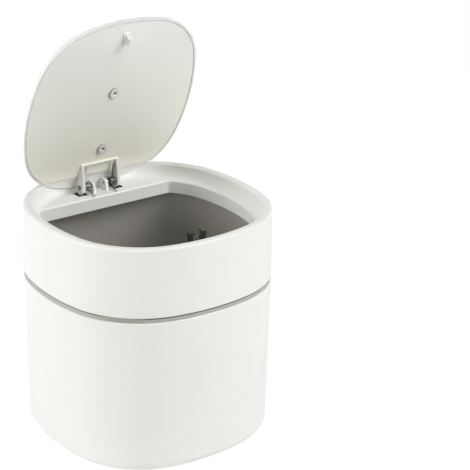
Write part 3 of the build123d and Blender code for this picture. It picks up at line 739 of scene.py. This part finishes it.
# ---------------------------------------------------------------- working by hand in edit mode
class Bench:
    """The modelling steps shared by every piece.

    Attributes:
        WELD: How near two vertices are merged.
        COPY_WELD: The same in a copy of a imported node.
        FLAT: Angle in degrees under which two faces of such a copy become one.
    """

    WELD = 0.002 * MM
    COPY_WELD = 0.001 * MM
    FLAT = 0.4

    @staticmethod
    def clear() -> None:
        """Leave edit mode and deselect everything."""
        if bpy.context.object and bpy.context.object.mode != "OBJECT":
            bpy.ops.object.mode_set(mode="OBJECT")
        bpy.ops.object.select_all(action="DESELECT")

    @classmethod
    def take(cls, piece: bpy.types.Object) -> None:
        """Make one object the active and only selected one."""
        cls.clear()
        piece.select_set(True)
        bpy.context.view_layer.objects.active = piece

    @classmethod
    def edit(cls, piece: bpy.types.Object) -> None:
        """Open an object in edit mode, where vertices are picked, with nothing selected."""
        cls.take(piece)
        bpy.ops.object.mode_set(mode="EDIT")
        bpy.ops.mesh.select_mode(type="VERT")
        bpy.ops.mesh.select_all(action="DESELECT")

    @classmethod
    def pick(cls, piece: bpy.types.Object, wanted: Callable[[Vector], bool]) -> None:
        """Select the vertices whose place passes a test, in edit mode.

        Args:
            piece: The object in edit mode.
            wanted: The test on a vertex place.
        """
        bpy.ops.mesh.select_all(action="DESELECT")
        bpy.ops.object.mode_set(mode="OBJECT")
        for vertex in piece.data.vertices:
            vertex.select = wanted(vertex.co)
        bpy.ops.object.mode_set(mode="EDIT")

    @classmethod
    def middle(cls, piece: bpy.types.Object) -> Vector:
        """Give the middle of the selected vertices, in edit mode.

        Args:
            piece: The object in edit mode.

        Returns:
            Their mean place.
        """
        piece.update_from_editmode()
        places = [vertex.co for vertex in piece.data.vertices if vertex.select]
        return sum(places, Vector()) / len(places)

    @staticmethod
    def turn(degrees: float, centre: Vector = Vector()) -> None:
        """Turn the selected vertices about the x direction, in edit mode.

        Args:
            degrees: Turn from +Y towards +Z.
            centre: The point that stays.
        """
        bpy.ops.transform.rotate(
            value=-math.radians(degrees),
            orient_axis="X",
            orient_type="GLOBAL",
            center_override=centre,
        )

    @classmethod
    def close(cls, piece: bpy.types.Object) -> bpy.types.Object:
        """Merge doubles and point the faces outwards.

        Args:
            piece: The object.

        Returns:
            The same object.
        """
        cls.edit(piece)
        bpy.ops.mesh.select_all(action="SELECT")
        bpy.ops.mesh.remove_doubles(threshold=cls.WELD)
        bpy.ops.mesh.normals_make_consistent(inside=False)
        cls.clear()
        return piece

    @classmethod
    def mirrored(cls, piece: bpy.types.Object, name: str) -> bpy.types.Object:
        """Copy a piece to the other side of the middle plane, with its own mesh.

        Args:
            piece: The piece, settled.
            name: Name of the copy.

        Returns:
            The copy.
        """
        cls.take(piece)
        bpy.ops.object.duplicate()
        other = bpy.context.object
        other.name = name
        cls.edit(other)
        bpy.ops.mesh.select_all(action="SELECT")
        bpy.ops.transform.mirror(
            constraint_axis=(True, False, False), orient_type="GLOBAL", center_override=(0.0, 0.0, 0.0)
        )
        bpy.ops.mesh.normals_make_consistent(inside=False)
        cls.clear()
        return other

    @classmethod
    def copy_of(cls, node: str, name: str) -> bpy.types.Object:
        """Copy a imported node's mesh as a new, merged piece.

        Args:
            node: The node.
            name: Name of the piece.

        Returns:
            The piece, whose flat areas are single faces.
        """
        cls.take(frame["nodes"][node])
        bpy.ops.object.duplicate()
        piece = bpy.context.object
        piece.name = name
        piece.parent = None
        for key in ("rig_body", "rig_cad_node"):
            del piece[key]
        piece.data.materials.clear()
        cls.edit(piece)
        bpy.ops.mesh.select_all(action="SELECT")
        bpy.ops.mesh.remove_doubles(threshold=cls.COPY_WELD)
        bpy.ops.mesh.customdata_custom_splitnormals_clear()
        bpy.ops.mesh.dissolve_limited(angle_limit=math.radians(cls.FLAT))
        bpy.ops.object.mode_set(mode="OBJECT")
        return piece

    @classmethod
    def modify(cls, piece: bpy.types.Object, kind: str, **settings: object) -> None:
        """Add a modifier and apply it.

        Args:
            piece: The object.
            kind: Modifier type.
            settings: Its properties.
        """
        cls.take(piece)
        modifier = piece.modifiers.new(kind.title(), kind)
        for name, value in settings.items():
            setattr(modifier, name, value)
        bpy.ops.object.modifier_apply(modifier=modifier.name)

    @classmethod
    def settle(cls, piece: bpy.types.Object, smooth: float = 40.0) -> None:
        """Apply an object's place and turn, and shade it smooth where it curves.

        Args:
            piece: The object.
            smooth: Angle in degrees past which an edge stays sharp.
        """
        cls.take(piece)
        bpy.ops.object.transform_apply(location=True, rotation=True, scale=True)
        bpy.ops.object.shade_smooth_by_angle(angle=math.radians(smooth))
        cls.clear()


@dataclass
class SubAssembly:
    """A group of pieces that are dressed together."""

    pieces: list[bpy.types.Object] = field(default_factory=list, init=False)

    def hang(
        self,
        piece: bpy.types.Object,
        body: str,
        finish: Finish,
        slot: str,
        replaces: tuple[str, ...] = (),
    ) -> None:
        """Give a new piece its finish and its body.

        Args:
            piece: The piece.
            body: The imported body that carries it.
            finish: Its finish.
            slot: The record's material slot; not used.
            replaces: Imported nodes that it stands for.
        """
        piece.data.materials.clear()
        piece.data.materials.append(finish.material())
        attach(piece, body)
        if replaces:
            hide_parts(*replaces)
        self.pieces.append(piece)

    def dress(self, *nodes: str) -> None:
        """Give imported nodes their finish.

        Args:
            nodes: Their names.
        """
        for node in nodes:
            piece = frame["nodes"][node]
            piece.data.materials.clear()
            piece.data.materials.append(FINISHES.get(node, SPRING_STEEL).material())
            self.pieces.append(piece)

    def report(self) -> None:
        """Log what was made."""
        for piece in self.pieces:
            LOG.info("%s: %s has %d faces", type(self).__name__, piece.name, len(piece.data.polygons))


# ---------------------------------------------------------------- hinge
@dataclass
class Hinge(SubAssembly):
    """The pins and the two torsion springs, each a coil with a deck leg and a turn with a lid leg.

    Attributes:
        wire: Wire radius.
        coil_radius: Radius of the wire's centre line.
        coil_inner: Inner end of the coil in x, where the deck leg leaves it.
        pitch: Advance of one turn.
        turns: Turns of the coil.
        deck_leg: Run of the deck leg, as (x, y, z).
        leg_x: The lid leg in x.
        leg_rise: Climb of the lid leg in degrees, with the lid closed.
        leg_length: Its straight run.
        sides: Faces round the wire.
        coil_steps: Steps in one turn of the coil.
        leg_steps: Steps in the lid leg's turn.
        end_bevel: Bevel of a cut end, as a share of the wire's radius.
        bend_share: Share of the deck leg that lies before its bend.
        smooth: Angle in degrees past which an edge stays sharp.
    """

    wire: float = 0.4 * MM
    coil_radius: float = 2.6 * MM
    coil_inner: float = 9.05 * MM
    pitch: float = 0.85 * MM
    turns: int = 3
    deck_leg: Triple = (0.0, -9.8 * MM, -1.85 * MM)
    leg_x: float = 12.65 * MM
    leg_rise: float = 6.5
    leg_length: float = 12.0 * MM
    sides: int = 14
    coil_steps: int = 36
    leg_steps: int = 40
    end_bevel: float = 0.3
    bend_share: float = 0.05
    smooth: float = 50.0

    def section(self, name: str, turn: float) -> bpy.types.Object:
        """Start a wire as a ring round its section, and stay in edit mode.

        Args:
            name: Name of the piece.
            turn: Where the ring lies, in degrees about the hinge from straight below it.

        Returns:
            The ring, which circles the hinge with its axis at the origin.
        """
        Bench.clear()
        bpy.ops.mesh.primitive_circle_add(
            vertices=self.sides, radius=self.wire, rotation=(math.pi / 2, 0.0, 0.0)
        )
        piece = bpy.context.object
        piece.name = name
        bpy.ops.object.transform_apply(location=True, rotation=True, scale=True)
        Bench.edit(piece)
        bpy.ops.mesh.select_all(action="SELECT")
        bpy.ops.transform.translate(value=(0.0, 0.0, -self.coil_radius))
        Bench.turn(turn)
        return piece

    def cut_end(self, run: Vector) -> None:
        """Draw the selected ring out and close it with a small bevel.

        Args:
            run: How far and in which direction.
        """
        bpy.ops.mesh.extrude_region_move(TRANSFORM_OT_translate={"value": run})
        bevel = run.normalized() * self.wire * self.end_bevel
        bpy.ops.mesh.extrude_region_move(TRANSFORM_OT_translate={"value": bevel})
        bpy.ops.transform.resize(value=(1 - self.end_bevel,) * 3)
        bpy.ops.mesh.edge_face_add()

    def coil(self) -> bpy.types.Object:
        """Wind the right-hand coil and draw out the leg that rests on the deck.

        Returns:
            The piece.
        """
        piece = self.section("hinge_coil_right", 0.0)
        bpy.ops.object.mode_set(mode="OBJECT")
        Bench.modify(
            piece,
            "SCREW",
            axis="X",
            angle=2 * math.pi * self.turns,
            screw_offset=self.pitch * self.turns,
            steps=self.coil_steps * self.turns,
            render_steps=self.coil_steps * self.turns,
        )
        Bench.edit(piece)
        ring = 1.1 * self.wire
        last = self.pitch * self.turns
        under = 0.01 * self.wire
        Bench.pick(piece, lambda at: at.x > last - ring and at.z < 0 and abs(at.y) < under)
        self.cut_end(Vector((0.0, self.wire, 0.0)))
        Bench.pick(piece, lambda at: at.x < ring and at.z < 0 and abs(at.y) < under)
        bend = math.degrees(math.atan2(self.deck_leg[2], self.deck_leg[1]) + math.pi)
        start = Vector(self.deck_leg) * self.bend_share
        bpy.ops.mesh.extrude_region_move(TRANSFORM_OT_translate={"value": start})
        Bench.turn(bend / 2, Bench.middle(piece))
        self.cut_end(Vector(self.deck_leg) - start)
        return piece

    def lid_leg(self) -> bpy.types.Object:
        """Bend the right-hand turn round the pin and draw out the leg that lifts the lid.

        Returns:
            The piece.
        """
        piece = self.section("hinge_leg_right", -90.0 - LID_TURN)
        sweep = 270.0 - self.leg_rise
        bpy.ops.mesh.spin(
            steps=self.leg_steps,
            angle=-math.radians(sweep),
            center=(0.0, 0.0, 0.0),
            axis=(1.0, 0.0, 0.0),
        )
        along = math.radians(180.0 - self.leg_rise - LID_TURN)
        self.cut_end(Vector((0.0, math.cos(along), math.sin(along))) * self.leg_length)
        bpy.ops.mesh.select_all(action="DESELECT")
        bpy.ops.object.mode_set(mode="OBJECT")
        return piece

    def build(self) -> None:
        """Make both springs and polish the pins."""
        for made, body, node, x in (
            (self.coil(), "collar", "hinge_spring", self.coil_inner),
            (self.lid_leg(), "lid", "hinge_spring_leg", self.leg_x),
        ):
            piece = Bench.close(made)
            piece.location = Vector(HINGE) + Vector((x, 0.0, 0.0))
            Bench.settle(piece, self.smooth)
            other = Bench.mirrored(piece, piece.name.replace("right", "left"))
            self.hang(piece, body, SPRING_STEEL, "spring_steel", (f"{node}_right",))
            self.hang(other, body, SPRING_STEEL, "spring_steel", (f"{node}_left",))
        self.dress("hinge_pin_left", "hinge_pin_right")


# ---------------------------------------------------------------- shells, lid and latch
@dataclass
class Shells(SubAssembly):
    """The outer body, the collar with the latch pocket, and the grey bucket."""

    def build(self) -> None:
        """Dress the shells."""
        self.dress("outer_body", "collar", "latch_pocket", "inner_bucket")


@dataclass
class Lid(SubAssembly):
    """The lid's cover, its glossy panel with the arms, the ringed stakes and the striker.

    Attributes:
        crossbar: Front and back of the crossbar in y with the lid closed, and its height in z.
        crossbar_back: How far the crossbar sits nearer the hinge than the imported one.
        ring_radius: Outer radius of the ring round a stake.
        ring_hole: Its inner radius.
        ring_height: How far it stands off the panel.
        ring_bevel: Width of its rounded rims.
        ring_steps: Steps round it.
        bevel_steps: Steps across its rounded rims.
        panel_smooth: Angle in degrees past which an edge of the panel stays sharp.
        ring_smooth: The same on a ring.
    """

    crossbar: tuple[float, float, float] = (40.9 * MM, 42.2 * MM, 1.5 * MM)
    crossbar_back: float = 3.5 * MM
    ring_radius: float = 4.1 * MM
    ring_hole: float = 1.35 * MM
    ring_height: float = 1.5 * MM
    ring_bevel: float = 0.5 * MM
    ring_steps: int = 64
    bevel_steps: int = 4
    panel_smooth: float = 30.0
    ring_smooth: float = 50.0

    def panel(self) -> None:
        """Copy the panel and set its crossbar a little nearer to the hinge."""
        piece = Bench.copy_of("lid_panel", "lid_panel_fitted")
        front, back, height = self.crossbar
        slack = MM / 20
        hinge = Vector(HINGE)
        shut = Matrix.Rotation(math.radians(LID_TURN), 3, "X")

        def on_crossbar(place: Vector) -> bool:
            """Tell the crossbar's corners from the rest."""
            at = shut @ (place - hinge) + hinge
            across = front - slack < at.y < back + slack
            return across and PANEL_FOOT - height - slack < at.z < PANEL_FOOT + slack

        Bench.edit(piece)
        Bench.pick(piece, on_crossbar)
        bpy.ops.transform.translate(value=shut.inverted() @ Vector((0.0, self.crossbar_back, 0.0)))
        Bench.settle(piece, self.panel_smooth)
        self.hang(piece, "lid", LID_LINER, "lid_liner", ("lid_panel",))

    def ring(self, name: str, y: float) -> None:
        """Raise a ring on the panel round one stake.

        Args:
            name: Name of the piece.
            y: The stake in y with the lid closed.
        """
        Bench.clear()
        bpy.ops.mesh.primitive_plane_add(size=1.0, rotation=(math.pi / 2, 0.0, 0.0))
        piece = bpy.context.object
        piece.name = name
        bpy.ops.object.transform_apply(location=True, rotation=True, scale=True)
        middle = (self.ring_radius + self.ring_hole) / 2
        low = PANEL_FOOT - self.ring_height / 2
        Bench.edit(piece)
        bpy.ops.mesh.select_all(action="SELECT")
        bpy.ops.transform.resize(value=(self.ring_radius - self.ring_hole, 1.0, self.ring_height))
        bpy.ops.transform.translate(value=(middle, 0.0, low))
        bpy.ops.mesh.delete(type="ONLY_FACE")
        Bench.pick(piece, lambda at: at.z < low)
        bpy.ops.mesh.bevel(offset=self.ring_bevel, segments=self.bevel_steps, affect="VERTICES")
        bpy.ops.mesh.select_all(action="SELECT")
        bpy.ops.mesh.spin(
            steps=self.ring_steps, angle=2 * math.pi, center=(0.0, 0.0, 0.0), axis=(0.0, 0.0, 1.0)
        )
        bpy.ops.mesh.select_all(action="SELECT")
        bpy.ops.transform.translate(value=(0.0, y, 0.0))
        Bench.turn(-LID_TURN, Vector(HINGE))
        Bench.settle(Bench.close(piece), self.ring_smooth)
        self.hang(piece, "lid", STAKE_RING, "lid_liner")

    def build(self) -> None:
        """Fit the panel, ring the stakes and dress the rest of the lid."""
        self.panel()
        for number, y in enumerate(STAKES, 1):
            self.ring(f"stake_ring_{number}", y)
        self.dress("lid_cover", "striker")


@dataclass
class Latch(SubAssembly):
    """The push latch with its two jaws."""

    def build(self) -> None:
        """Dress the latch."""
        self.dress(
            "latch_housing",
            "latch_cap",
            "latch_slider",
            "latch_jaw_left",
            "latch_jaw_right",
            "latch_jaw_pin_left",
            "latch_jaw_pin_right",
            "latch_spring",
            "latch_cam_follower",
            "latch_screws",
        )


# ---------------------------------------------------------------- studio
@dataclass(frozen=True)
class Softbox:
    """A soft square lamp.

    Attributes:
        name: Its name.
        place: Where it stands.
        watts: Its power.
        size: Its width.
        aim: What it points at.
    """

    name: str
    place: Triple
    watts: float
    size: float = 1.0
    aim: Triple = (0.0, 0.0, 0.12)

    def build(self) -> None:
        """Set the lamp up."""
        lamp = bpy.data.lights.new(self.name, "AREA")
        lamp.size = self.size
        lamp.energy = self.watts
        stand = bpy.data.objects.new(self.name, lamp)
        stand.location = self.place
        stand.rotation_euler = (Vector(self.aim) - Vector(self.place)).to_track_quat("-Z", "Y").to_euler()
        bpy.context.scene.collection.objects.link(stand)


@dataclass
class Studio:
    """A white sweep, soft lamps and the camera.

    Attributes:
        lamps: The lamps.
        ambient: Strength of the even light on the object.
        floor_keeps: How much of the floor's own shading the camera sees.
        floor_glow: Strength of the white that it sees besides.
        floor_size: Width of the floor.
        floor_colour: Linear colour of the floor.
        floor_roughness: Its roughness.
        camera_place: Where the camera stands.
        camera_turn: Its turn about x, y and z in degrees.
        lens: Its focal length in millimetres.
        sensor: Width of its sensor in millimetres.
        shift: How far the picture is shifted sideways and up.
    """

    lamps: tuple[Softbox, ...] = (
        Softbox("left", (-1.7, 0.5, 0.6), 25.3),
        Softbox("high_right", (0.9, -1.2, 1.4), 20.0),
        Softbox("high_front", (0.2, -1.4, 1.2), 5.5),
        Softbox("front", (0.2, -1.8, 0.7), 5.5),
        Softbox("top", (0.0, 0.1, 2.0), 4.5, 1.2),
    )
    ambient: float = 0.02
    floor_keeps: float = 0.12
    floor_glow: float = 1.09
    floor_size: float = 40.0
    floor_colour: Colour = (0.9, 0.9, 0.9)
    floor_roughness: float = 0.9
    camera_place: Triple = (-0.5565, -0.8267, 0.5412)
    camera_turn: Triple = (65.21, 0.0, -33.95)
    lens: float = 121.03
    sensor: float = 36.0
    shift: tuple[float, float] = (0.187, 0.162)

    def sees_white(self, tree: Tree) -> Signal:
        """Tell rays that show the backdrop from rays that light the object.

        Args:
            tree: The tree to add to.

        Returns:
            1 for camera, glossy and transmission rays.
        """
        ray = tree.node(Kind.RAY)
        total = tree.signal(ray.outputs["Is Camera Ray"])
        total = total + tree.signal(ray.outputs["Is Glossy Ray"])
        return (total + tree.signal(ray.outputs["Is Transmission Ray"])).above(0.0, 1.0)

    def world(self) -> None:
        """Light the room evenly and show white behind the object."""
        world = bpy.data.worlds.new("room")
        bpy.context.scene.world = world
        world.use_nodes = True
        world.node_tree.nodes.clear()
        tree = Tree(world.node_tree)
        seen = self.sees_white(tree)
        strength = seen * (1 - self.ambient) + self.ambient
        background = tree.node(Kind.BACKGROUND, sockets={"Color": WHITE, "Strength": strength})
        output = world.node_tree.nodes.new("ShaderNodeOutputWorld")
        tree.feed(output.inputs["Surface"], background.outputs[0])

    def floor(self) -> None:
        """Lay a wide white floor that keeps a soft shadow."""
        Bench.clear()
        bpy.ops.mesh.primitive_plane_add(size=self.floor_size)
        floor = bpy.context.object
        floor.name = "floor"
        material = bpy.data.materials.new("white_floor")
        material.use_nodes = True
        tree = Tree(material.node_tree)
        surface = material.node_tree.nodes["Principled BSDF"]
        surface.inputs["Base Color"].default_value = (*self.floor_colour, 1.0)
        surface.inputs["Roughness"].default_value = self.floor_roughness
        surface.inputs["Specular IOR Level"].default_value = 0.0
        glow = tree.node(Kind.EMISSION, sockets={"Color": WHITE, "Strength": self.floor_glow})
        share = self.sees_white(tree) * (1 - self.floor_keeps)
        mixed = tree.node(Kind.MIX_SHADER, sockets={0: share, 1: surface.outputs[0], 2: glow.outputs[0]})
        tree.feed(material.node_tree.nodes["Material Output"].inputs["Surface"], mixed.outputs[0])
        floor.data.materials.append(material)

    def camera(self) -> None:
        """Place the camera."""
        camera = bpy.data.cameras.new("camera")
        camera.lens = self.lens
        camera.sensor_width = self.sensor
        camera.shift_x, camera.shift_y = self.shift
        stand = bpy.data.objects.new("camera", camera)
        stand.location = self.camera_place
        stand.rotation_euler = tuple(math.radians(turn) for turn in self.camera_turn)
        bpy.context.scene.collection.objects.link(stand)
        bpy.context.scene.camera = stand

    def build(self) -> None:
        """Set the whole studio up."""
        self.camera()
        self.floor()
        self.world()
        for lamp in self.lamps:
            lamp.build()
        bpy.context.scene.view_settings.view_transform = "Standard"


def main() -> None:
    """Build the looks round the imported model."""
    logging.basicConfig(level=logging.INFO, format="%(message)s")
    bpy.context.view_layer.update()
    Studio().build()
    for assembly in (Shells(), Lid(), Hinge(), Latch()):
        assembly.build()
        assembly.report()


if __name__ == "__main__":
    main()
